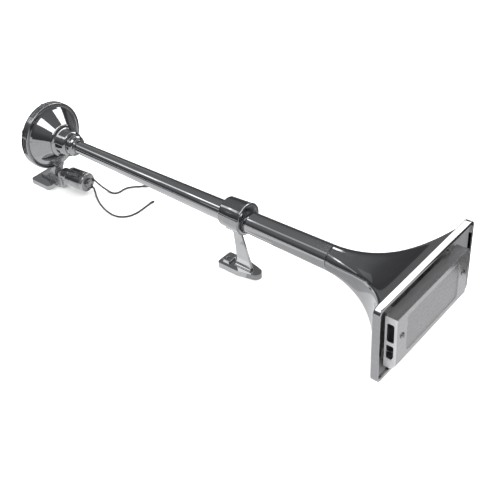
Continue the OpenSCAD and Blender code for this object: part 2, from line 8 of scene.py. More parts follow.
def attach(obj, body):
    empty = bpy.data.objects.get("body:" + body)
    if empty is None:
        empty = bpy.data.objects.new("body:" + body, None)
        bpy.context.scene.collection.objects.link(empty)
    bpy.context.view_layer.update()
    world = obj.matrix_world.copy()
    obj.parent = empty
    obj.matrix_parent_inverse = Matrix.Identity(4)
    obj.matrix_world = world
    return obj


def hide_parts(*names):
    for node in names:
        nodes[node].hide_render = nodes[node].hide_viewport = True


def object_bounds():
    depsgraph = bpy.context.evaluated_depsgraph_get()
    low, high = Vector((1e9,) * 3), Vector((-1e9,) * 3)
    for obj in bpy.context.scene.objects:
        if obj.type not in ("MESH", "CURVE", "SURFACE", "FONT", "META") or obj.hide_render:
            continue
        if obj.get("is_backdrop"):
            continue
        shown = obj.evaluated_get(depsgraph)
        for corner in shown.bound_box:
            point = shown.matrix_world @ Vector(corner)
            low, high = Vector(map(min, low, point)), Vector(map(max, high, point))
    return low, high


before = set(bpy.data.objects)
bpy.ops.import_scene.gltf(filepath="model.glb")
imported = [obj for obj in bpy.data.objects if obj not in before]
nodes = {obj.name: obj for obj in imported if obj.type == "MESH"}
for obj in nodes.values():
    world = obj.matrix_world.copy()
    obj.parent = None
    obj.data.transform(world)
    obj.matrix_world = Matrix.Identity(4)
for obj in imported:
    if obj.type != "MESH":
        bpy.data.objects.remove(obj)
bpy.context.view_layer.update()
MM = 0.001

# ------------------------------------------------------------------ camera
yaw, pitch, roll = 2.2966, 0.6592, 0.0678
fwd = Vector((math.cos(yaw) * math.cos(pitch), math.sin(yaw) * math.cos(pitch), -math.sin(pitch)))
right = Vector((math.sin(yaw), -math.cos(yaw), 0.0))
down = fwd.cross(right)
cam_right = math.cos(roll) * right + math.sin(roll) * down
cam_down = -math.sin(roll) * right + math.cos(roll) * down
cam_data = bpy.data.cameras.new("camera")
cam_data.sensor_fit = "HORIZONTAL"
cam_data.sensor_width = 36.0
cam_data.lens = 66.50
cam_data.clip_start = 0.05
cam_data.clip_end = 60.0
cam = bpy.data.objects.new("camera", cam_data)
bpy.context.scene.collection.objects.link(cam)
rot = Matrix((cam_right, -cam_down, -fwd)).transposed()
cam.matrix_world = Matrix.Translation((1.1129, -0.7672, 0.8389)) @ rot.to_4x4()
bpy.context.scene.camera = cam


# ------------------------------------------------------------------ materials
def material(name):
    m = bpy.data.materials.new(name)
    m.use_nodes = True
    nt = m.node_tree
    nt.nodes.clear()
    out = nt.nodes.new("ShaderNodeOutputMaterial")
    sh = nt.nodes.new("ShaderNodeBsdfPrincipled")
    nt.links.new(sh.outputs[0], out.inputs[0])
    return m, nt, sh


def coords(nt, scale=(1, 1, 1), rotation=(0, 0, 0)):
    tc = nt.nodes.new("ShaderNodeTexCoord")
    mp = nt.nodes.new("ShaderNodeMapping")
    mp.inputs["Scale"].default_value = scale
    mp.inputs["Rotation"].default_value = rotation
    nt.links.new(tc.outputs["Object"], mp.inputs["Vector"])
    return mp.outputs[0]


def noise(nt, vec, scale, detail=3.0, rough=0.5):
    n = nt.nodes.new("ShaderNodeTexNoise")
    n.inputs["Scale"].default_value = scale
    n.inputs["Detail"].default_value = detail
    n.inputs["Roughness"].default_value = rough
    nt.links.new(vec, n.inputs["Vector"])
    return n.outputs["Fac"]


def ramp(nt, fac, stops):
    r = nt.nodes.new("ShaderNodeValToRGB")
    e = r.color_ramp.elements
    while len(e) > 1:
        e.remove(e[-1])
    for i, (p, c) in enumerate(stops):
        el = e[0] if i == 0 else e.new(p)
        el.position = p
        el.color = (*c, 1) if len(c) == 3 else c
    nt.links.new(fac, r.inputs[0])
    return r.outputs[0]


def remap(nt, fac, a, b, c, d):
    m = nt.nodes.new("ShaderNodeMapRange")
    for k, v in zip(("From Min", "From Max", "To Min", "To Max"), (a, b, c, d)):
        m.inputs[k].default_value = v
    nt.links.new(fac, m.inputs["Value"])
    return m.outputs[0]


def add(nt, a, b, mode="ADD"):
    m = nt.nodes.new("ShaderNodeMath")
    m.operation = mode
    for i, v in enumerate((a, b)):
        if isinstance(v, (int, float)):
            m.inputs[i].default_value = v
        else:
            nt.links.new(v, m.inputs[i])
    return m.outputs[0]


def bump(nt, sh, height, strength, distance):
    b = nt.nodes.new("ShaderNodeBump")
    b.inputs["Strength"].default_value = strength
    b.inputs["Distance"].default_value = distance
    nt.links.new(height, b.inputs["Height"])
    nt.links.new(b.outputs[0], sh.inputs["Normal"])


def metal(name, light, dark, r0, r1, grain=(1, 1, 1), grain_scale=120.0, wave=0.0, wave_scale=18.0, fine=0.0, spots=0.0, metallic=1.0):
    """Plated or bare metal: cloudy polish marks in the colour and gloss, a slow waviness and a fine grain in the surface."""
    m, nt, sh = material(name)
    sh.inputs["Metallic"].default_value = metallic
    v = coords(nt)
    g = coords(nt, grain)
    cloud = noise(nt, v, 24.0, 4.0, 0.55)
    streak = noise(nt, g, grain_scale, 3.0, 0.6)
    mixed = add(nt, add(nt, cloud, 0.6, "MULTIPLY"), add(nt, streak, 0.4, "MULTIPLY"))
    col = ramp(nt, mixed, [(0.30, dark), (0.62, light)])
    if spots > 0:
        sp = noise(nt, v, 420.0, 2.0, 0.7)
        mx = nt.nodes.new("ShaderNodeMix")
        mx.data_type = "RGBA"
        nt.links.new(ramp(nt, sp, [(0.60, (0, 0, 0)), (0.72, (spots, spots, spots))]), mx.inputs[0])
        nt.links.new(col, mx.inputs[6])
        mx.inputs[7].default_value = (dark[0] * 0.45, dark[1] * 0.45, dark[2] * 0.45, 1)
        col = mx.outputs[2]
    nt.links.new(col, sh.inputs["Base Color"])
    nt.links.new(remap(nt, mixed, 0.3, 0.7, r0, r1), sh.inputs["Roughness"])
    slow = noise(nt, v, wave_scale, 2.0, 0.4)
    h = add(nt, add(nt, slow, wave, "MULTIPLY"), add(nt, streak, fine, "MULTIPLY"))
    bump(nt, sh, h, 1.0, 0.001)
    return m


def plastic(name, base, alt, rough, scale=300.0, depth=0.02, spec=0.4):
    """Rubber, insulation or moulded plastic: mottled colour, fine pebbling and dull gloss."""
    m, nt, sh = material(name)
    v = coords(nt)
    n = noise(nt, v, scale, 5.0, 0.6)
    big = noise(nt, v, scale * 0.12, 3.0, 0.5)
    mixed = add(nt, add(nt, n, 0.5, "MULTIPLY"), add(nt, big, 0.5, "MULTIPLY"))
    nt.links.new(ramp(nt, mixed, [(0.35, base), (0.65, alt)]), sh.inputs["Base Color"])
    nt.links.new(remap(nt, mixed, 0.3, 0.7, rough - 0.08, rough + 0.1), sh.inputs["Roughness"])
    sh.inputs["Specular IOR Level"].default_value = spec
    bump(nt, sh, n, 1.0, depth * MM)
    return m


M = {}
M["chrome_tube"] = metal("chrome_tube", (0.51, 0.515, 0.527), (0.45, 0.455, 0.467), 0.035, 0.085, grain=(0.06, 1, 1), grain_scale=260.0, wave=0.05, wave_scale=9.0, fine=0.004)
M["chrome_bell"] = metal("chrome_bell", (0.42, 0.425, 0.436), (0.37, 0.375, 0.385), 0.035, 0.09, grain=(0.5, 0.12, 1), grain_scale=240.0, wave=0.10, wave_scale=16.0, fine=0.004)
M["chrome_cast"] = metal("chrome_cast", (0.40, 0.405, 0.414), (0.34, 0.344, 0.353), 0.045, 0.11, grain_scale=300.0, wave=0.12, wave_scale=40.0, fine=0.008)
M["chrome_cover"] = metal("chrome_cover", (0.41, 0.412, 0.418), (0.37, 0.372, 0.38), 0.17, 0.25, grain=(1, 0.05, 1), grain_scale=420.0, wave=0.06, wave_scale=24.0, fine=0.006, metallic=0.84)
# darker copy of the cover finish for the sunk panel's face: painted shade in the recess
M["cover_panel_painted_shade"] = metal("cover_panel_painted_shade", (0.31, 0.312, 0.318), (0.275, 0.277, 0.284), 0.22, 0.32, grain=(1, 0.05, 1), grain_scale=420.0, wave=0.04, wave_scale=24.0, fine=0.002, metallic=0.82)
M["cap_satin"] = metal("cap_satin", (0.43, 0.432, 0.438), (0.34, 0.342, 0.348), 0.07, 0.15, grain_scale=400.0, wave=0.14, wave_scale=60.0, fine=0.008, metallic=0.88)
# lighter, nearly matt copy of the cover finish for its end faces: painted light
M["cover_ends_painted_light"] = metal("cover_ends_painted_light", (0.66, 0.662, 0.668), (0.58, 0.582, 0.59), 0.34, 0.46, grain_scale=420.0, wave=0.05, wave_scale=24.0, fine=0.006, metallic=0.12)
M["dark_chrome"] = metal("dark_chrome", (0.40, 0.405, 0.415), (0.25, 0.252, 0.26), 0.06, 0.17, grain=(0.25, 1, 1), grain_scale=520.0, wave=0.14, wave_scale=90.0, fine=0.012, spots=0.35)
M["zinc"] = metal("zinc", (0.62, 0.625, 0.62), (0.46, 0.465, 0.46), 0.22, 0.38, grain_scale=700.0, wave=0.05, fine=0.02, spots=0.3)
M["steel"] = metal("steel", (0.64, 0.635, 0.62), (0.50, 0.495, 0.48), 0.18, 0.32, grain=(1, 0.08, 1), grain_scale=600.0, wave=0.02, fine=0.015)
M["brass"] = metal("brass", (0.74, 0.58, 0.30), (0.56, 0.41, 0.18), 0.18, 0.34, grain_scale=500.0, wave=0.03, fine=0.015, spots=0.2)
M["copper"] = metal("copper", (0.70, 0.36, 0.18), (0.48, 0.22, 0.10), 0.22, 0.36, grain=(6, 1, 1), grain_scale=160.0, wave=0.02, fine=0.04)
M["tin"] = metal("tin", (0.19, 0.19, 0.185), (0.12, 0.12, 0.115), 0.24, 0.42, grain_scale=900.0, wave=0.02, fine=0.02, spots=0.3)
M["chrome_foot"] = metal("chrome_foot", (0.50, 0.505, 0.512), (0.40, 0.405, 0.41), 0.035, 0.08, grain_scale=500.0, wave=0.14, wave_scale=60.0, fine=0.006, metallic=1.0)
M["chrome_strut"] = metal("chrome_strut", (0.54, 0.545, 0.552), (0.48, 0.485, 0.49), 0.05, 0.12, grain_scale=300.0, wave=0.10, wave_scale=40.0, fine=0.008)
M["chrome_web"] = metal("chrome_web", (0.35, 0.355, 0.362), (0.26, 0.265, 0.27), 0.14, 0.26, grain_scale=400.0, wave=0.2, wave_scale=50.0, fine=0.014, metallic=0.74)
# lighter, nearly matt finish for the collar's bore: painted light where the bore is in shade
M["collar_inner_painted_light"] = metal("collar_inner_painted_light", (0.50, 0.502, 0.508), (0.40, 0.402, 0.406), 0.34, 0.48, grain_scale=400.0, wave=0.1, wave_scale=50.0, fine=0.02, metallic=0.12)
M["valve_cast"] = metal("valve_cast", (0.40, 0.402, 0.408), (0.30, 0.302, 0.308), 0.22, 0.36, grain_scale=520.0, wave=0.2, wave_scale=90.0, fine=0.03, spots=0.4, metallic=0.5)
# dull, darker finish for the bell's interior skin: painted shade
M["inside"] = metal("inside", (0.33, 0.33, 0.336), (0.25, 0.25, 0.255), 0.42, 0.60, grain_scale=300.0, wave=0.08, fine=0.02, metallic=0.4)
# near-black finish: painted shade within the cover
M["painted_shade_lining"] = metal("painted_shade_lining", (0.034, 0.033, 0.035), (0.02, 0.02, 0.021), 0.5, 0.7, grain_scale=400.0, wave=0.04, fine=0.02)
M["rubber"] = plastic("rubber", (0.012, 0.012, 0.013), (0.03, 0.03, 0.032), 0.62, 900.0, 0.03, 0.3)
M["nylon"] = plastic("nylon", (0.62, 0.58, 0.48), (0.72, 0.69, 0.60), 0.45, 500.0, 0.02, 0.5)
M["wire"] = plastic("wire", (0.024, 0.025, 0.027), (0.045, 0.046, 0.049), 0.42, 700.0, 0.02, 0.5)


# ------------------------------------------------------------------ mesh helpers (all numbers in mm)
def piece(name, verts, faces, mat, replaces=(), body="horn", matrix=None, sharp=32.0, merge=True):
    me = bpy.data.meshes.new(name)
    vs = [Vector(v) for v in verts]
    if matrix is not None:
        vs = [matrix @ v for v in vs]
    me.from_pydata([v * MM for v in vs], [], faces)
    me.validate()
    if merge:
        bm = bmesh.new()
        bm.from_mesh(me)
        bmesh.ops.remove_doubles(bm, verts=bm.verts, dist=2e-6)
        bmesh.ops.recalc_face_normals(bm, faces=bm.faces)
        bm.to_mesh(me)
        bm.free()
    return finish_piece(name, me, mat, replaces, body, sharp)


def finish_piece(name, me, mat, replaces=(), body="horn", sharp=32.0):
    me.materials.clear()
    me.materials.append(M[mat])
    me.shade_smooth()
    me.set_sharp_from_angle(angle=math.radians(sharp))
    ob = bpy.data.objects.new(name, me)
    bpy.context.scene.collection.objects.link(ob)
    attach(ob, body)
    if replaces:
        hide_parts(*replaces)
    return ob


def round_poly(pts, closed=True, seg=6):
    """Corner points (x, y, radius) to a polyline with rounded corners."""
    out = []
    n = len(pts)
    for i, p in enumerate(pts):
        r = p[2] if len(p) > 2 else 0
        if r <= 0 or (not closed and i in (0, n - 1)):
            out.append((p[0], p[1]))
            continue
        a = Vector(pts[(i - 1) % n][:2]) - Vector(p[:2])
        b = Vector(pts[(i + 1) % n][:2]) - Vector(p[:2])
        la, lb = a.length, b.length
        a.normalize()
        b.normalize()
        ang = a.angle(b)
        if ang > math.pi - 0.02:
            out.append((p[0], p[1]))
            continue
        t = min(r / math.tan(ang / 2), 0.48 * la, 0.48 * lb)
        rr = t * math.tan(ang / 2)
        c = Vector(p[:2]) + (a + b).normalized() * (rr / math.sin(ang / 2))
        s = Vector(p[:2]) + a * t - c
        e = Vector(p[:2]) + b * t - c
        turn = s.angle_signed(e)
        k = max(2, int(seg * abs(turn) / (math.pi / 2)) + 1)
        for j in range(k + 1):
            w = -turn * j / k
            out.append((c.x + s.x * math.cos(w) - s.y * math.sin(w), c.y + s.x * math.sin(w) + s.y * math.cos(w)))
    return out


def lathe_data(profile, segs=128):
    """Closed profile of (axial, radius) turned about local Z."""
    verts, faces = [], []
    n = len(profile)
    for k in range(segs):
        a = 2 * math.pi * k / segs
        ca, sa = math.cos(a), math.sin(a)
        for z, r in profile:
            r = max(r, 0.0)
            verts.append((r * ca, r * sa, z))
    for k in range(segs):
        l = (k + 1) % segs
        for i in range(n):
            j = (i + 1) % n
            if profile[i][1] < 1e-6 and profile[j][1] < 1e-6:
                continue
            faces.append((k * n + i, l * n + i, l * n + j, k * n + j))
    return verts, faces


AXIAL = Matrix.Translation((0, 0, 94)) @ Matrix.Rotation(math.radians(90), 4, "Y")
SOL = Matrix.Translation((49.5, 3, 23)) @ Matrix.Rotation(math.radians(4.5), 4, "Z") @ Matrix.Rotation(math.radians(90), 4, "Y")


def turned(name, pts, mat, replaces=(), matrix=AXIAL, segs=160, sharp=32.0, body="horn"):
    v, f = lathe_data(round_poly(pts), segs)
    return piece(name, v, f, mat, replaces, body, matrix, sharp)


def raw(name, verts, faces, matrix=None):
    """A working object that doesn't stay in the scene."""
    me = bpy.data.meshes.new(name)
    vs = [Vector(v) for v in verts]
    if matrix is not None:
        vs = [matrix @ v for v in vs]
    me.from_pydata([v * MM for v in vs], [], faces)
    bm = bmesh.new()
    bm.from_mesh(me)
    bmesh.ops.remove_doubles(bm, verts=bm.verts, dist=2e-6)
    bmesh.ops.recalc_face_normals(bm, faces=bm.faces)
    bm.to_mesh(me)
    bm.free()
    ob = bpy.data.objects.new(name, me)
    bpy.context.scene.collection.objects.link(ob)
    return ob


def prism_data(outline, t0, t1, frame3):
    """Outline (a, b) extruded from t0 to t1. frame3 maps (a, b, t) to a point."""
    n = len(outline)
    verts = [frame3(a, b, t0) for a, b in outline] + [frame3(a, b, t1) for a, b in outline]
    faces = [tuple(range(n)), tuple(range(2 * n - 1, n - 1, -1))]
    faces += [(i, (i + 1) % n, n + (i + 1) % n, n + i) for i in range(n)]
    return verts, faces


def XZ(a, b, t):
    return (a, t, b)


def YZ(a, b, t):
    return (t, a, b)


def XY(a, b, t):
    return (a, b, t)


def rrect(cx, cy, hx, hy, r):
    return [(cx + hx, cy + hy, r), (cx - hx, cy + hy, r), (cx - hx, cy - hy, r), (cx + hx, cy - hy, r)]


def prism(name, outline, t0, t1, plane, seg=6):
    return raw(name, *prism_data(round_poly(outline, True, seg), t0, t1, plane))


def rod(name, r, z0, z1, matrix, segs=48, r2=None):
    r2 = r if r2 is None else r2
    return raw(name, *lathe_data([(z0, 0), (z0, r), (z1, r2), (z1, 0)], segs), matrix)


def evaluated(ob):
    dg = bpy.context.evaluated_depsgraph_get()
    dg.update()
    return bpy.data.meshes.new_from_object(ob.evaluated_get(dg))


def drop(ob):
    me = ob.data
    bpy.data.objects.remove(ob)
    if me.users == 0:
        bpy.data.meshes.remove(me)


def cut(ob, *cutters, op="DIFFERENCE"):
    for c in cutters:
        m = ob.modifiers.new("b", "BOOLEAN")
        m.operation = op
        m.solver = "EXACT"
        m.object = c
    me = evaluated(ob)
    ob.modifiers.clear()
    old = ob.data
    ob.data = me
    bpy.data.meshes.remove(old)
    for c in cutters:
        drop(c)
    return ob


def rounded(name, ob, mat, width, seg=3, angle=35.0, replaces=(), sharp=40.0, body="horn"):
    """Rounds the working object's edges and hands it over as a piece."""
    bm = bmesh.new()
    bm.from_mesh(ob.data)
    bmesh.ops.remove_doubles(bm, verts=bm.verts, dist=4e-6)
    bmesh.ops.dissolve_limit(bm, angle_limit=math.radians(1.0), verts=bm.verts, edges=bm.edges)
    bm.to_mesh(ob.data)
    bm.free()
    if width > 0:
        m = ob.modifiers.new("bev", "BEVEL")
        m.width = width * MM
        m.segments = seg
        m.limit_method = "ANGLE"
        m.angle_limit = math.radians(angle)
        m.use_clamp_overlap = True
        m.harden_normals = False
    me = evaluated(ob)
    drop(ob)
    out = finish_piece(name, me, mat, replaces, body, sharp)
    wn = out.modifiers.new("wn", "WEIGHTED_NORMAL")
    wn.keep_sharp = True
    wn.weight = 60
    return out


# ------------------------------------------------------------------ leads
ROUTE_A = [(87.2, 17.6, 22.5), (90, 17.9, 22), (92, 18.9, 19.6), (93.6, 20.8, 16), (95.4, 23.2, 11.8), (97.8, 25.4, 7.8),
           (100.8, 27.2, 4.9), (104.4, 28.4, 2.8), (109.5, 28.6, 1.6), (114.5, 28.9, 1.5), (119, 30.4, 1.5), (122.2, 33.8, 1.5),
           (123.6, 38.8, 1.5), (123.6, 44.4, 1.5), (124.2, 50, 1.5), (126.6, 55.4, 1.5), (130.8, 60.4, 1.5), (135.8, 65, 1.5),
           (140.6, 69.2, 1.5), (144, 72.2, 1.9)]
ROUTE_B = [(87.6, 11.6, 12.6), (90.2, 11.9, 12), (92, 12, 9.6), (93, 11.7, 6.4), (95.2, 10.6, 3.4), (98.8, 8.3, 1.9), (103.4, 5.3, 1.5),
           (110, 1.5, 1.5), (117, -2.2, 1.5), (125, -5.8, 1.5), (133, -8.8, 1.5), (141, -11.2, 1.5), (149, -13, 1.5), (157, -14, 1.5),
           (165, -13.8, 1.5), (172, -12, 1.5), (178, -8.6, 1.5), (182.6, -3.8, 1.5), (186, 2, 1.5), (188, 8.6, 1.5), (188.8, 15.6, 1.5),
           (188.8, 22.6, 1.5), (188.4, 29.6, 1.5), (188, 36.4, 1.5), (188, 41.6, 1.9)]


def smooth_route(pts, sub=5):
    p = [Vector(q) for q in pts]
    out = []
    for i in range(len(p) - 1):
        p0, p1, p2, p3 = p[max(i - 1, 0)], p[i], p[i + 1], p[min(i + 2, len(p) - 1)]
        for k in range(sub):
            t = k / sub
            out.append(0.5 * ((2 * p1) + (p2 - p0) * t + (2 * p0 - 5 * p1 + 4 * p2 - p3) * t * t + (3 * p1 - p0 - 3 * p2 + p3) * t ** 3))
    out.append(p[-1])
    return out


def lead(name, route, node):
    pts = [q * MM for q in smooth_route(route)]
    cu = bpy.data.curves.new(name, "CURVE")
    cu.dimensions = "3D"
    cu.bevel_depth = 1.38 * MM
    cu.bevel_resolution = 4
    cu.use_fill_caps = True
    sp = cu.splines.new("POLY")
    sp.points.add(len(pts) - 1)
    for q, p in zip(pts, sp.points):
        p.co = (*q, 1)
    cu.materials.append(M["wire"])
    ob = bpy.data.objects.new(name, cu)
    bpy.context.scene.collection.objects.link(ob)
    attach(ob, "horn")
    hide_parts(node)
    return ob, sum((b - a).length for a, b in zip(pts, pts[1:])), pts[0]


def terminal(name, route, node):
    """Crimped barrel with a rolled seam, a neck and a flat blade with a hole."""
    e, q = Vector(route[-1]), Vector(route[-2])
    d = e - q
    mat = Matrix.Translation((e.x, e.y, 0)) @ Matrix.Rotation(math.atan2(d.y, d.x), 4, "Z")
    bar = Matrix.Translation((0, 0, 1.9)) @ Matrix.Rotation(math.radians(90), 4, "Y")
    prof = round_poly([(0.2, 1.45, 0.1), (0.2, 1.8, 0.15), (0.9, 1.8, 0.2), (1.1, 1.62, 0.2), (2.6, 1.62, 0.2), (2.8, 1.8, 0.2), (4.4, 1.75, 0.2), (4.4, 1.1, 0.1)])
    v, f = lathe_data(prof, 40)
    b = raw(name + "_b", v, f, mat @ bar)
    blade = [(3.7, -0.95, 0.2), (4.5, -1.25, 0.5), (5.1, -2.28, 0.5), (8.8, -2.28, 0.8), (9.78, -1.2, 0.7), (9.78, 1.2, 0.7), (8.8, 2.28, 0.8),
             (5.1, 2.28, 0.5), (4.5, 1.25, 0.5), (3.7, 0.95, 0.2)]
    pv, pf = prism_data(round_poly(blade), 0.92, 1.68, XY)
    p = raw(name + "_p", pv, pf, mat)
    hole = rod(name + "_h", 0.55, 0, 3, mat @ Matrix.Translation((7.9, 0, 0)), 24)
    cut(p, hole)
    slit = raw(name + "_s", *prism_data([(-0.1, -0.09), (4.5, -0.09), (4.5, 0.09), (-0.1, 0.09)], 3.1, 4.0, XY), mat)
    cut(b, slit)
    bm = bmesh.new()
    bm.from_mesh(b.data)
    bm.from_mesh(p.data)
    bm.to_mesh(b.data)
    bm.free()
    drop(p)
    return rounded(name, b, "tin", 0.08, 2, 40, (node,))


term_a = terminal("blade_terminal_a", ROUTE_A, "terminal_a")
term_b = terminal("blade_terminal_b", ROUTE_B, "terminal_b")
wire_a, len_a, exit_a = lead("lead_a", ROUTE_A, "wire_a")
wire_b, len_b, exit_b = lead("lead_b", ROUTE_B, "wire_b")


# ------------------------------------------------------------------ trumpet
def tube_r(x):
    return 10.2 + 0.0163 * (x - 100)


tube = []
for i in range(65):
    x = 60.2 + (572.1 - 60.2) * i / 64
    tube.append((x, tube_r(x)))
tube += [(572.7, tube_r(572.7) - 0.8), (572.7, tube_r(572.7) - 1.7)]
tube += [(x, tube_r(x) - 1.75) for x in (500, 400, 300, 200, 100, 60.2)]
v, f = lathe_data(tube, 144)
piece("tapered_tube", v, f, "chrome_tube", ("trumpet_tube",), matrix=AXIAL)

NECK = tube_r(573)
FLARE_LEN, HW, HH = 131.0, 103.3, 53.7


def flare(u):
    b = NECK + (HW - NECK) * (0.217 * u + 0.783 * u ** 3.273)
    c = NECK + (HH - NECK) * u ** 2.659
    return b, c, 2 + 14.57 * u ** 2.23


def quarter(n, count=44):
    """Points of a quarter of a superellipse at even steps of its angle parameter."""
    fine = 1200
    pts = []
    for i in range(fine + 1):
        t = (math.pi / 2) * i / fine
        pts.append((math.cos(t) ** (2 / n) if i < fine else 0.0, math.sin(t) ** (2 / n) if i > 0 else 0.0))
    return pts


def ring(x, b, c, n, count=44):
    fine = 700
    pts = []
    # one quarter, sampled finely by its angle parameter
    e = 2 / n
    for i in range(fine + 1):
        t = (math.pi / 2) * (i / fine)
        # steps crowd at both ends so that the long straight sides are sampled too
        t = (math.pi / 2) * (0.5 - 0.5 * math.cos(math.pi * i / fine)) if n <= 3 else t
        pts.append((b * (math.cos(t) ** e if i < fine else 0.0), c * (math.sin(t) ** e if i > 0 else 0.0)))
    # arc length weighted by turning, resampled
    acc = [0.0]
    for i in range(1, len(pts)):
        acc.append(acc[-1] + math.hypot(pts[i][0] - pts[i - 1][0], pts[i][1] - pts[i - 1][1]))
    turn = [0.0]
    for i in range(1, len(pts)):
        if i < len(pts) - 1:
            ax, ay = pts[i][0] - pts[i - 1][0], pts[i][1] - pts[i - 1][1]
            bx, by = pts[i + 1][0] - pts[i][0], pts[i + 1][1] - pts[i][1]
            turn.append(turn[-1] + abs(math.atan2(ax * by - ay * bx, ax * bx + ay * by)))
        else:
            turn.append(turn[-1])
    total = [0.5 * a / acc[-1] + 0.5 * t / max(turn[-1], 1e-9) for a, t in zip(acc, turn)]
    q = []
    j = 0
    for k in range(count):
        s = k / count
        while total[j + 1] < s:
            j += 1
        w = (s - total[j]) / max(total[j + 1] - total[j], 1e-12)
        q.append((pts[j][0] + w * (pts[j + 1][0] - pts[j][0]), pts[j][1] + w * (pts[j + 1][1] - pts[j][1])))
    end = (0.0, c)
    first = [(y, z) for y, z in q]
    ringp = first + [end]
    # mirror to the other quarters
    second = [(-y, z) for y, z in reversed(q)]
    third = [(-y, -z) for y, z in q[1:]]
    fourth_src = [(0.0, -c)]
    fourth = [(y, -z) for y, z in reversed(q[1:])]
    allp = ringp + second + third + fourth_src + fourth
    return [(x, y, 94 + z) for y, z in allp]


def loft(name, rings, mat, replaces=(), closed=True, sharp=32.0):
    s = len(rings[0])
    verts = [p for r in rings for p in r]
    m = len(rings)
    faces = []
    for i in range(m if closed else m - 1):
        j = (i + 1) % m
        for k in range(s):
            l = (k + 1) % s
            faces.append((i * s + k, j * s + k, j * s + l, i * s + l))
    return piece(name, verts, faces, mat, replaces, sharp=sharp)


RINGS = 72
outer, inner = [], []
for i in range(RINGS + 1):
    u = 1 - (1 - i / RINGS) ** 1.35
    b, c, n = flare(u)
    w = 1.5 + 0.7 * min(1, u / 0.4)
    x = 573 + FLARE_LEN * u
    outer.append(ring(x, b, c, n))
    inner.append(ring(x, b - w, c - w, n))
outer[0] = ring(573.9, NECK + 0.05, NECK, 2)
start = [ring(573.2, NECK - 0.8, NECK - 0.8, 2)]
def lip_ring(x, dy, dz, r):
    """A section of the mouth's flange: a rectangle with round corners, drawn in from its outside by dy and dz."""
    b, c = 108 - dy, 56.9 - dz
    out = []
    for _, y, z in ring(x, 108, 56.9, 16.67):
        z -= 94
        ay, az = abs(y), abs(z)
        if az * b <= (c - r) * ay:
            t = b / ay
        elif ay * c <= (b - r) * az:
            t = c / az
        else:
            cy, cz, pp = b - r, c - r, ay * ay + az * az
            q = ay * cy + az * cz
            t = (q + math.sqrt(max(q * q - pp * (cy * cy + cz * cz - r * r), 0))) / pp
        out.append((x, t * y, 94 + t * z))
    return out


lip = [lip_ring(*a) for a in (
    (703.1, 1.1, 1.1, 8), (703.25, 0.55, 0.55, 8.5), (703.6, 0.2, 0.2, 8.8), (704.1, 0.03, 0.03, 9), (704.8, 0, 0, 9), (708, 0, 0, 9),
    (712.2, 0, 0, 9), (712.6, 0.05, 0.05, 8.95), (712.85, 0.25, 0.25, 8.75), (713, 0.7, 0.7, 8.3), (713, 1.8, 2.3, 7), (713, 2.9, 4.3, 5.7),
    (712.9, 3.05, 4.6, 5.5), (712.6, 3.15, 4.75, 5.4), (711, 3.3, 4.8, 5.3), (708, 4.0, 4.9, 5.2))]
rings = start + outer + lip + list(reversed(inner)) + [ring(573.05, NECK - 1.4, NECK - 1.4, 2)]
loft("flared_bell", rings, "chrome_bell", ("trumpet_bell",), sharp=38.0)

# the bell's interior gets a thin dull, darker skin over it: painted shade
skin_in, skin_out = [], []
for i in range(RINGS + 1):
    u = 1 - (1 - i / RINGS) ** 1.35
    b, c, n = flare(u)
    w = 1.5 + 0.7 * min(1, u / 0.4)
    skin_in.append(ring(573 + FLARE_LEN * u, b - w - 0.06, c - w - 0.06, n))
    skin_out.append(ring(573 + FLARE_LEN * u, b - w + 0.3, c - w + 0.3, n))
skin_in.append(lip_ring(708.6, 3.95, 4.98, 5.2))
skin_out.append(lip_ring(708.6, 3.6, 4.6, 5.4))
loft("bell_inside_skin", skin_out + list(reversed(skin_in)), "inside", sharp=38.0)

# ------------------------------------------------------------------ power chamber
chamber = [(22.4, 40, 0), (22.4, 54.5, 0.5), (25.6, 54.5, 0.15), (25.75, 54.2, 0.1), (26.1, 54.2, 0.1), (26.25, 54.5, 0.15),
           (29.6, 54.5, 3.4), (29.6, 49.6, 1.0), (28.9, 48.8, 0.4), (29.0, 47.6, 0.4), (29.8, 46.6, 0.5), (31, 45, 0.6), (51.0, 25.9, 0.5), (52.4, 25.3, 0.3),
           (52.9, 26, 0.3), (54.5, 26, 0.5), (55.3, 24.9, 0.5), (56.2, 22.4, 0.8), (58, 21.5, 1.5), (66, 21.2, 0), (73.6, 20.2, 1.5), (76, 17.4, 1.6),
           (76, 15.2, 0), (60, 15.2, 0), (44, 22, 0), (26, 40, 0)]
turned("chamber_body", chamber, "chrome_cast", ("power_chamber",), segs=192, sharp=30.0)

web_pts = [(-14, 6), (-14, 12, 2), (-2, 12, 8), (6, 17, 6), (14, 29, 10), (20, 37.2, 6), (22.8, 38.8, 2), (24, 62),
           (44, 68), (52, 72), (53, 68.5, 2), (47, 60.5, 6), (40, 52, 10), (32, 43.3, 14), (25.4, 31, 10), (23, 24, 6), (22, 19, 4), (22, 6)]
web = prism("web_w", web_pts, -9.2, 9.2, XZ)
cut(web, prism("fan_w", [(-20, 0), (60, 0), (60, 40), (-20, 40)], -20, 20, XZ), op="INTERSECT")
rounded("chamber_web", web, "chrome_web", 1.3, 4, 40)

# the web's root spreads out under the cone in one smooth flare
ROOT_X = [(35, 27.6), (39, 29.3), (43.3, 32.0), (48, 36.0), (52, 39.6), (56, 43.2), (60.5, 46.8), (64, 49.3), (70, 52.6)]


def root_front(z):
    for (z0, x0), (z1, x1) in zip(ROOT_X, ROOT_X[1:]):
        if z <= z1:
            return x0 + (x1 - x0) * (z - z0) / (z1 - z0)
    return ROOT_X[-1][1]


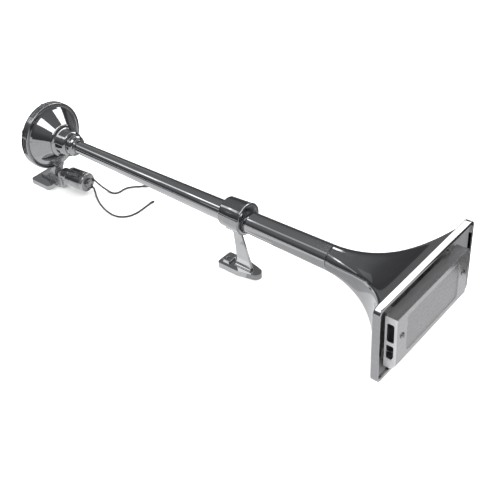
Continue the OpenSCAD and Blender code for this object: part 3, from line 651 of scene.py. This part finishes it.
root_rings = []
for i in range(36):
    z = 35.5 + i
    t = max(0.0, (z - 37.5) / 28.0)
    hw = 9.0 + 19.0 * t ** 2
    x0, x1 = 21.6, root_front(z)
    r = min(3.2 + 9.0 * t, 0.48 * (x1 - x0))
    loop = []
    for sx, sy, a0 in ((1, 1, 0), (-1, 1, 90), (-1, -1, 180), (1, -1, 270)):
        for k in range(9):
            w = math.radians(a0 + 90 * k / 8)
            loop.append((((x0 + x1) / 2 + sx * ((x1 - x0) / 2 - r)) + r * math.cos(w), sy * (hw - r) + r * math.sin(w), z))
    root_rings.append(loop)
rn = len(root_rings[0])
rv = [q for loop in root_rings for q in loop]
rf = [tuple(range(rn)), tuple(range(len(rv) - 1, len(rv) - 1 - rn, -1))]
rf += [(i * rn + k, (i + 1) * rn + k, (i + 1) * rn + (k + 1) % rn, i * rn + (k + 1) % rn) for i in range(len(root_rings) - 1) for k in range(rn)]
piece("chamber_web_root", rv, rf, "chrome_web", sharp=50.0)

pad = raw("pad_w", *prism_data(round_poly(rrect(0, 0, 22.5, 26, 5.5)), 0, 8, XY))
holes = [rod(f"ph{i}", 3.4, -1, 6.4, Matrix.Translation((-6.5, s * 16.5, 0)), 48) for i, s in enumerate((-1, 1))]
holes.append(rod("ph2", 1.8, -1, 4, Matrix.Translation((-16.2, 0, 0)), 32))
cut(pad, *holes)
rounded("chamber_pad", pad, "chrome_cast", 0.7, 3, 40)
rib = prism("rib_w", [(-14, -9, 2.5), (15.5, -9, 1.5), (15.5, 9, 1.5), (-14, 9, 2.5)], 7, 10.6, XY)
rounded("chamber_rib", rib, "chrome_cast", 1.2, 4, 40)
port = prism("port_w", [(18, 0.5, 0.5), (18, 19, 2), (22, 20.5, 2), (29, 20.5, 2), (30.15, 19.5, 1), (30.15, 1.5, 0.8), (29.2, 0.5, 0.8)], -9, 9, XZ)
rounded("air_port_block", port, "chrome_web", 0.9, 3, 40)

# dished rear cover with six screws
rc = 15.0
cover_prof = [(rc + 2, 1.5, 0.2), (rc + 2, 14.6, 1.5), (rc + 1, 17, 1.5), (rc + 1, 38, 1.5), (rc + 2, 40.5, 1.5), (rc + 1.2, 43.6, 1.2), (rc, 45.0, 1.0),
              (rc, 54.5, 4.8), (22.35, 54.5, 0.5), (22.35, 42, 0), (20, 41.6, 0), (18.8, 39, 0), (18.8, 1.5, 0)]
v, f = lathe_data(round_poly(cover_prof), 192)
rcov = raw("rear_w", v, f, AXIAL)
cutters = []
for i in range(6):
    a = math.radians(30 + 60 * i)
    T = Matrix.Translation((0, 51.2 * math.cos(a), 94 + 51.2 * math.sin(a))) @ Matrix.Rotation(math.radians(90), 4, "Y")
    cutters.append(rod(f"rs{i}", 3.3, 8, 17.4, T, 40))
cut(rcov, *cutters)
rounded("rear_cover_plate", rcov, "chrome_cast", 0.18, 2, 45, ("rear_cover",), sharp=35)

turned("gland_ring", [(76.05, 14.4, 0), (76.05, 16.0, 0.3), (76.9, 16.3, 0.3), (77.9, 16.3, 0.2), (78.1, 16.0, 0.15), (78.5, 16.0, 0.15), (78.7, 16.3, 0.2), (83.6, 16.3, 1.0),
                      (86, 13.8, 0.8), (86.8, 12.3, 0.5), (90.3, 11.9, 0.5), (90.6, 10.3, 0.1), (90.6, 9.8, 0), (76.05, 9.4, 0)],
       "chrome_cast", ("gland_nut",), sharp=30)

# ------------------------------------------------------------------ mouth cover
CX0, CX1 = 705.5, 722.2
CTOP, CLOW = 125.5, 42.6


def cover_side(w, back):
    return [(CX0 - back, CTOP - w), (CX1 - 1.6 * w, CTOP - w), (CX1 - 1.6 * w, CLOW + 10.6 + 0.6 * w, 3.0), (CX1 - 4 - 0.8 * w, CLOW + 5.2 + 0.9 * w, 6.0),
            (713 - 0.4 * w, CLOW + 0.9 + w, 3.0), (709, CLOW + w, 2.0), (CX0 - back, CLOW + w)]


def cover_end(w, r):
    return rrect(0, (CTOP + CLOW) / 2, 83 - w, (CTOP - CLOW) / 2 - w, r)


box = prism("cov_w", cover_side(0, 0), -83, 83, XZ)
cut(box, prism("cov_e", cover_end(0, 4.0), CX0 - 2, CX1 + 2, YZ, 8), op="INTERSECT")
hollow = prism("cov_h", cover_side(1.2, 4), -81.8, 81.8, XZ)
cut(hollow, prism("cov_g", cover_end(1.2, 3.0), CX0 - 6, CX1 + 2, YZ, 8), op="INTERSECT")
cut(box, hollow)
# sunk panel with sloping sides
po = round_poly(rrect(0, 89, 59.4, 27.4, 4.4), True, 6)
pi = round_poly(rrect(0, 89, 61.2, 29.2, 5.4), True, 6)
n = len(po)
pv = [(CX1 - 1.0, a, b) for a, b in po] + [(CX1 + 0.35, a, b) for a, b in pi]
pf = [tuple(range(n)), tuple(range(2 * n - 1, n - 1, -1))] + [(i, (i + 1) % n, n + (i + 1) % n, n + i) for i in range(n)]
cut(box, raw("cov_p", pv, pf))
slots = []
for k, (z0, z1) in enumerate(((-7, 21), (-34, -12.5))):
    for j, s in enumerate((-1, 1)):
        low = s * 83 - 4
        if k == 0:
            o = rrect((CX1 - 13.7 + CX1 - 4) / 2, 94 + (z0 + z1) / 2, 4.85, (z1 - z0) / 2, 2.4)
        else:
            o = [(CX1 - 4, 94 + z1, 2.4), (CX1 - 13.7, 94 + z1, 2.4), (CX1 - 13.7, 94 + z0, 2.4), (CX1 - 6.4, 94 + z0, 2.2), (CX1 - 4, 94 + z0 + 5, 2.2)]
        slots.append(prism(f"sl{k}{j}", o, low, low + 8, XZ))
for s_ in slots:
    cut(box, s_)
for j, s in enumerate((-1, 1)):
    T = Matrix.Translation((CX1 - 4, s * 71, 94)) @ Matrix.Rotation(math.radians(90), 4, "Y")
    cut(box, rod(f"sh{j}", 2.6, 0, 6, T, 40))
cover = rounded("pressed_mouth_cover", box, "chrome_cover", 0.3, 2, 40, ("mouth_cover",), sharp=38)
# a lighter, nearly matt copy of the cover finish on both end faces: painted light; a darker copy on the sunk panel's
# face: painted shade
cover.data.materials.append(M["cover_ends_painted_light"])
cover.data.materials.append(M["cover_panel_painted_shade"])
for q in cover.data.polygons:
    c, d = q.center / MM, q.normal
    # end faces take the painted-light copy, the sunk panel's face the painted-shade copy
    if abs(c.y) > 81.9 and abs(d.y) > 0.8:
        q.material_index = 1
    elif c.x > CX1 - 1.15 and c.x < CX1 - 0.7 and d.x > 0.8 and abs(c.y) < 61:
        q.material_index = 2

# near-black skin over the cover's interior, seen through the slots: painted shade
skin = prism("csk", cover_side(1.14, 0), -81.86, 81.86, XZ)
cut(skin, prism("cse", cover_end(1.14, 3.0), CX0 + 0.3, CX1 + 2, YZ, 8), op="INTERSECT")
core = prism("csc", cover_side(1.5, 4), -81.5, 81.5, XZ)
cut(core, prism("csd", cover_end(1.5, 2.8), CX0 - 6, CX1 + 2, YZ, 8), op="INTERSECT")
cut(skin, core)
for k, (z0, z1) in enumerate(((-7.4, 21.4), (-34.4, -12.1))):
    cut(skin, prism(f"css{k}", rrect(CX1 - 8.85, 94 + (z0 + z1) / 2, 5.2, (z1 - z0) / 2, 2.4), -90, 90, XZ))
for j, s in enumerate((-1, 1)):
    cut(skin, rod(f"csh{j}", 2.6, 0, 8, Matrix.Translation((CX1 - 6, s * 71, 94)) @ Matrix.Rotation(math.radians(90), 4, "Y"), 40))
rounded("cover_inside_skin", skin, "painted_shade_lining", 0.0)

for j, s in enumerate((-1, 1)):
    T = Matrix.Translation((CX1, s * 71, 94)) @ Matrix.Rotation(math.radians(90), 4, "Y")
    prof = round_poly([(0, 0, 0), (0, 4.2, 0.15), (0.9, 4.2, 0.5), (1.9, 3.0, 0.9), (2.1, 0, 0)], True, 5)
    v, f = lathe_data(prof, 56)
    head = raw(f"head{j}", v, f, T)
    for q in ((2.2, 0.4), (0.4, 2.2)):
        c = raw("x", *prism_data([(-q[0], -q[1]), (q[0], -q[1]), (q[0], q[1]), (-q[0], q[1])], 0.9, 3, XY), T)
        cut(head, c)
    rounded(f"cover_screw_head_{'ab'[j]}", head, "chrome_cast", 0.1, 2, 40, ("cover_screws",) if j == 0 else ())

# ------------------------------------------------------------------ front support
COLLAR = Matrix.Translation((395, 0, 97.5)) @ Matrix.Rotation(math.radians(90), 4, "Y")
turned("support_collar", [(0, 20.0, 0.3), (0, 20.6, 0.4), (0.9, 21.3, 0.8), (18, 22.2, 0), (33, 23.1, 0), (36.2, 23.8, 1.0), (37.4, 23.5, 0.6), (38, 22.6, 0.5), (38, 19.5, 0.5),
                         (36.8, 18.7, 0.5), (2, 18.7, 1)], "chrome_cast", ("support_bracket",), matrix=COLLAR, segs=160, sharp=30)
# a thin lighter sleeve in the collar's bore: painted light
turned("collar_bore_painted_light_sleeve", [(1.2, 18.4, 0.1), (36.6, 18.4, 0.1), (36.6, 18.9, 0), (1.2, 18.9, 0)], "collar_inner_painted_light", matrix=COLLAR, segs=120)
saddle = raw("sad_w", *prism_data([(-9, 73.6), (9, 73.6), (9, 80.6), (6.5, 83), (2, 84.2), (-2, 84.2), (-6.5, 83), (-9, 80.6)], 398, 428, YZ))
tube_cut = rod("tc", 15.05, 390, 440, AXIAL, 96, r2=15.9)
cut(saddle, tube_cut)
rounded("collar_saddle", saddle, "chrome_cast", 0.3, 2, 40)
strut_pts = [(402, 80), (404, 66), (406.6, 40, 40), (407.4, 18, 20), (405, 11.6, 8), (402.5, 4), (436.5, 4), (434.4, 10.6, 8),
             (427, 38, 60), (419.6, 64), (419.4, 80)]
strut = prism("strut_w", strut_pts, -1.9, 1.9, XZ, 10)
rounded("support_strut", strut, "chrome_strut", 0.6, 3, 40)
root = prism("root_w", [(-6.2, 7.8), (6.2, 7.8), (5.8, 8.85, 1), (2.7, 10.6, 4), (1.85, 14.8), (-1.85, 14.8), (-2.7, 10.6, 4), (-5.8, 8.85, 1)], 405.5, 433.5, YZ)
rounded("strut_root", root, "chrome_strut", 0.5, 3, 40)
foot_pts = [(380, -14.5, 4), (380, 14.5, 4), (416, 14.5, 20), (445.6, 7.9, 8.2), (449.9, 0, 6), (445.6, -7.9, 8.2), (416, -14.5, 20)]
foot = prism("foot_w", foot_pts, 0, 8.8, XY, 10)
boss = prism("boss_w", rrect(390.5, 0, 7.6, 7.4, 2.2), 7.8, 11.8, XY)
cut(boss, rod("fh3", 2.5, -1, 13, Matrix.Translation((390.5, 0, 0)), 40))
rounded("support_foot_boss", boss, "chrome_foot", 0.7, 3, 40)
cut(foot, rod("fh1", 2.5, -1, 13, Matrix.Translation((390.5, 0, 0)), 40), rod("fh2", 2.5, -1, 5, Matrix.Translation((427.5, 0, 0)), 40))
rounded("support_foot", foot, "chrome_foot", 1.1, 4, 40)

# ------------------------------------------------------------------ solenoid valve
turned("solenoid_shell", [(0, 6.2, 0), (0, 15.8, 1.1), (3.2, 15.8, 0.1), (3.4, 15.62, 0.1), (3.8, 15.62, 0.1), (4.0, 15.8, 0.1), (30.0, 15.8, 0.2), (30.4, 15.55, 0.2), (31.6, 15.55, 0.1),
                          (31.6, 14.6, 0), (1.4, 14.6, 0), (1.4, 6.2, 0)], "dark_chrome", ("solenoid_can",), matrix=SOL, segs=144)
GROM = [(0.5, 11.6), (10.4, 5.6)]
v, f = lathe_data(round_poly([(30.1, 3.05, 0), (30.1, 14.4, 0), (31.65, 14.4, 0), (31.65, 15.5, 0.2), (32.4, 15.8, 0.3), (37.5, 15.8, 2.6), (37.5, 9.6, 0.2), (37.25, 9.3, 0.2), (37.25, 3.05, 0)], True, 8), 144)
cap = raw("cap_w", v, f, SOL)
cut(cap, *[rod(f"gh{i}", 2.2, 28, 41, SOL @ Matrix.Translation((p[0], p[1], 0)), 36) for i, p in enumerate(GROM)])
rounded("solenoid_cap", cap, "cap_satin", 0.12, 2, 45, ("end_cap",), sharp=35)
hexn = [(8 * math.cos(math.radians(14 + 60 * i)), 8 * math.sin(math.radians(14 + 60 * i)), 0.3) for i in range(6)]
nut = raw("nut_w", *prism_data(round_poly(hexn, True, 3), 37.55, 40.85, XY), SOL)
# corners chamfered by a cone on the outer side
v, f = lathe_data([(37.0, 0), (37.0, 9.4), (39.7, 9.4), (41.0, 7.2), (41.0, 0)], 96)
cone = raw("nut_c", v, f, SOL)
cut(nut, cone, op="INTERSECT")
cut(nut, rod("nut_h", 3.05, 36, 42, SOL, 48))
rounded("end_hex_nut", nut, "chrome_cast", 0.15, 2, 30, ("end_nut",), sharp=30)
turned("core_stud_end", [(37.3, 0, 0), (37.3, 2.95, 0), (41.6, 2.95, 0.5), (42.15, 2.3, 0.3), (42.15, 0, 0)], "zinc", matrix=SOL, segs=64)
for i, p in enumerate(GROM):
    turned(f"lead_bush_{'ab'[i]}", [(30.4, 0.9, 0), (30.4, 2.12, 0), (37.6, 2.12, 0.1), (37.6, 2.9, 0.3), (38.2, 2.85, 0.3), (39.5, 2.15, 0.3), (39.5, 1.45, 0.1), (37, 1.2, 0)],
           "rubber", ("wire_grommets",) if i == 0 else (), matrix=SOL @ Matrix.Translation((p[0], p[1], 0)), segs=48)

# valve body: flange, barrel, hexagon, lower block and inlet boss
flange = raw("fl_w", *prism_data(round_poly(rrect(0, 15.2, 8.6, 14.8, 3.0), True, 6), 31, 36, YZ))
rounded("valve_flange", flange, "valve_cast", 0.6, 3, 40, ("valve_body",))
turned("valve_barrel", [(-15, 0, 0), (-15, 11, 0.9), (-3.6, 11, 0.2), (-3.6, 8, 0), (-8.4, 8, 0), (-8.4, 3.2, 0), (-7.3, 3.2, 0), (-7.3, 2, 0), (-13, 2, 0), (-13, 0, 0)], "dark_chrome", matrix=SOL, segs=112)
hx = [(12.6 * math.cos(math.radians(60 * i)), 12.6 * math.sin(math.radians(60 * i)), 0.5) for i in range(6)]
hexb = raw("hx_w", *prism_data(round_poly(hx, True, 3), -4, -0.1, XY), SOL)
cut(hexb, rod("hx_h", 8.0, -5, 1, SOL, 64))
rounded("valve_hexagon", hexb, "dark_chrome", 0.3, 2, 30)
blk = prism("blk_w", [(34, 5, 1), (42, 5, 1), (42, 19), (34, 19)], -6, 6, XZ)
rounded("valve_lower_block", blk, "valve_cast", 0.7, 3, 40)
INLET = Matrix.Translation((42.5, 0, 23)) @ Matrix.Rotation(math.radians(4.5), 4, "Z") @ Matrix.Rotation(math.radians(-90), 4, "X")
turned("air_inlet_boss", [(8.2, 3.4, 0), (8.2, 6.6, 0), (17, 6.6, 0.5), (17, 4.8, 0.1), (16.5, 4.3, 0.1), (10.6, 4.3, 0), (10.6, 3.4, 0)], "valve_cast", matrix=INLET, segs=80)

# ------------------------------------------------------------------ nodes that stay as they are
KEEP = {"housing_screws": "zinc", "clamp_ring": "steel", "diaphragm": "steel", "diaphragm_gasket": "rubber", "throat_nozzle": "brass",
        "throat_seal": "rubber", "joint_sleeve": "brass", "cover_brackets": "zinc", "cover_nuts": "zinc", "port_seal": "rubber",
        "core_tube": "steel", "plunger": "steel", "plunger_seal": "rubber", "plunger_spring": "steel", "pole_piece": "steel",
        "bobbin": "nylon", "coil": "copper"}
for nm, mt in KEEP.items():
    ob = nodes[nm]
    for s_ in ob.material_slots:
        s_.material = M[mt]

# ------------------------------------------------------------------ floor, lights and surroundings
me = bpy.data.meshes.new("floor")
bm = bmesh.new()
bmesh.ops.create_circle(bm, cap_ends=True, radius=14.0, segments=96)
bm.to_mesh(me)
bm.free()
floor = bpy.data.objects.new("floor", me)
floor.location = (0.35, 0, -0.0003)
bpy.context.scene.collection.objects.link(floor)
m, nt, sh = material("floor_paper")
v = coords(nt)
n1 = noise(nt, v, 3.0, 2.0, 0.5)
nt.links.new(ramp(nt, n1, [(0.3, (0.88, 0.88, 0.882)), (0.7, (0.90, 0.90, 0.90))]), sh.inputs["Base Color"])
sh.inputs["Roughness"].default_value = 0.9
sh.inputs["Specular IOR Level"].default_value = 0.05
me.materials.append(m)
floor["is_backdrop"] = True


def light(name, kind, energy, loc, target=(0, 0, 0), size=(1, 1), glossy=True, angle=None):
    d = bpy.data.lights.new(name, kind)
    d.energy = energy
    if kind == "AREA":
        d.shape = "RECTANGLE"
        d.size, d.size_y = size
    if angle is not None:
        d.angle = angle
    o = bpy.data.objects.new(name, d)
    bpy.context.scene.collection.objects.link(o)
    o.location = loc
    z = (Vector(loc) - Vector(target)).normalized()
    x = Vector((1, 0, 0))
    x = (x - z * x.dot(z)).normalized()
    y = z.cross(x)
    o.matrix_world = Matrix.Translation(loc) @ Matrix((x, y, z)).transposed().to_4x4()
    o.visible_glossy = glossy
    return o


def box_light(name, radiance, loc, target, size, diffuse=True, spread=180.0):
    o = light(name, "AREA", radiance * math.pi * size[0] * size[1], loc, target, size)
    o.visible_diffuse = diffuse
    if spread < 180:
        a = math.radians(spread / 2)
        o.data.spread = 2 * a
        o.data.energy *= (math.tan(a) - a) / math.tan(a)
    return o


def card(name, glow, x0, x1, y0, y1, z):
    """A softly glowing or dark card just above the floor, seen only in reflections: a painted reflection, a sheet that
    glows though it is no lamp.
    """
    d = bpy.data.meshes.new(name)
    d.from_pydata([(x0, y0, z), (x1, y0, z), (x1, y1, z), (x0, y1, z)], [], [(0, 1, 2, 3)])
    cm, cnt, csh = material(name + "_paper")
    cv = coords(cnt)
    csh.inputs["Base Color"].default_value = (0, 0, 0, 1)
    csh.inputs["Specular IOR Level"].default_value = 0.0
    csh.inputs["Emission Strength"].default_value = 1.0
    cnt.links.new(ramp(cnt, noise(cnt, cv, 5.0, 2.0, 0.5), [(0.3, (glow, glow, glow * 1.01)), (0.7, (glow * 1.08, glow * 1.08, glow * 1.09))]), csh.inputs["Emission Color"])
    d.materials.append(cm)
    o = bpy.data.objects.new(name, d)
    bpy.context.scene.collection.objects.link(o)
    o.visible_camera = False
    o.visible_diffuse = False
    o.visible_shadow = False
    o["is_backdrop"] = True
    return o


# the floor is hidden from reflections; glowing cards paint its reflection instead, each set to the brightness wanted on
# the chrome above it
floor.visible_glossy = False
card("floor_card", 0.86, -14, 14, -14, 14, -0.0001)
card("tube_card", 0.96, -0.15, 0.31, -0.075, 0.0, 0.0002)
card("tube_card_under", 0.56, -0.15, 0.31, 0.0, 0.134, 0.0002)
card("tube_card_front", 0.95, 0.31, 0.43, -0.075, 0.060, 0.0002)
card("tube_card_bell", 0.60, 0.43, 0.53, -0.05, 0.060, 0.0003)
card("tube_card_low", 0.60, 0.372, 0.53, -0.6, -0.05, 0.0003)
light("sky_fill", "SUN", 6.2, (0, 0, 4), (0.05, 0.0, 0), glossy=False, angle=math.radians(130))
box_light("strip", 0.42, (-0.45, -0.58, 1.15), (0.25, 0.0, 0.09), (1.9, 0.30))
box_light("strip_mid", 1.5, (-0.465, -0.56, 1.13), (0.25, 0.0, 0.09), (0.21, 0.24))
box_light("strip_rear", 0.8, (-0.69, -0.58, 1.15), (0.25, 0.0, 0.09), (0.22, 0.26))
box_light("band_box", 3.0, (-0.02, 1.386, 1.39), (0.708, 0.0, 0.15), (0.70, 0.62))
box_light("lid_box", 2.6, (0.03, 0.08, 1.60), (0.03, 0.08, 0.0), (0.45, 2.75), diffuse=False)
box_light("cone_box_a", 3.3, (1.32, -0.39, 1.596), (0.04, 0.0, 0.11), (0.60, 0.76), diffuse=False)
box_light("cone_box_b", 3.3, (0.514, 1.716, 1.032), (0.04, 0.0, 0.11), (0.75, 1.0), diffuse=False)
box_light("foot_box", 2.7, (0.301, -0.127, 0.151), (0.418, -0.002, 0.015), (0.06, 0.05), diffuse=False, spread=36.0)
box_light("rim_box", 2.2, (-0.63, -0.47, 0.75), (0.03, -0.02, 0.11), (0.34, 0.16), diffuse=False, spread=16.0)
box_light("pad_box", 0.10, (-1.05, 0.72, 0.85), (0.0, 0.0, 0.01), (0.7, 0.7), diffuse=False)
# dark cards paint dark reflections on the chrome: painted shade seen only in reflections
card("dark_card_far", 0.19, -14, 0.66, 0.134, 14, 0.0006)
card("dark_card_front", 0.08, 0.66, 14, 0.175, 14, 0.0007)
card("dark_card_bell", 0.19, 0.52, 0.700, 0.085, 0.5, 0.0008)
card("dark_card_rear", 0.05, -1.6, -0.062, -1.2, -0.095, 0.0006)

w = bpy.data.worlds.new("world")
bpy.context.scene.world = w
w.use_nodes = True
nt = w.node_tree
nt.nodes.clear()
wo = nt.nodes.new("ShaderNodeOutputWorld")
bg = nt.nodes.new("ShaderNodeBackground")
nt.links.new(bg.outputs[0], wo.inputs[0])
tc = nt.nodes.new("ShaderNodeTexCoord")
sx = nt.nodes.new("ShaderNodeSeparateXYZ")
nt.links.new(tc.outputs["Generated"], sx.inputs[0])
zz = remap(nt, sx.outputs[2], -1.0, 1.0, 0.0, 1.0)
sky = ramp(nt, zz, [(0.0, (0.80, 0.80, 0.81)), (0.470, (0.78, 0.78, 0.79)), (0.488, (0.07, 0.07, 0.073)), (0.64, (0.11, 0.11, 0.113)), (0.74, (0.20, 0.202, 0.206)), (1.0, (0.26, 0.262, 0.266))])
nt.links.new(sky, bg.inputs[0])
bg.inputs[1].default_value = 1.0

vs = bpy.context.scene.view_settings
vs.view_transform = "Standard"
vs.look = "None"

low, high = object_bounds()
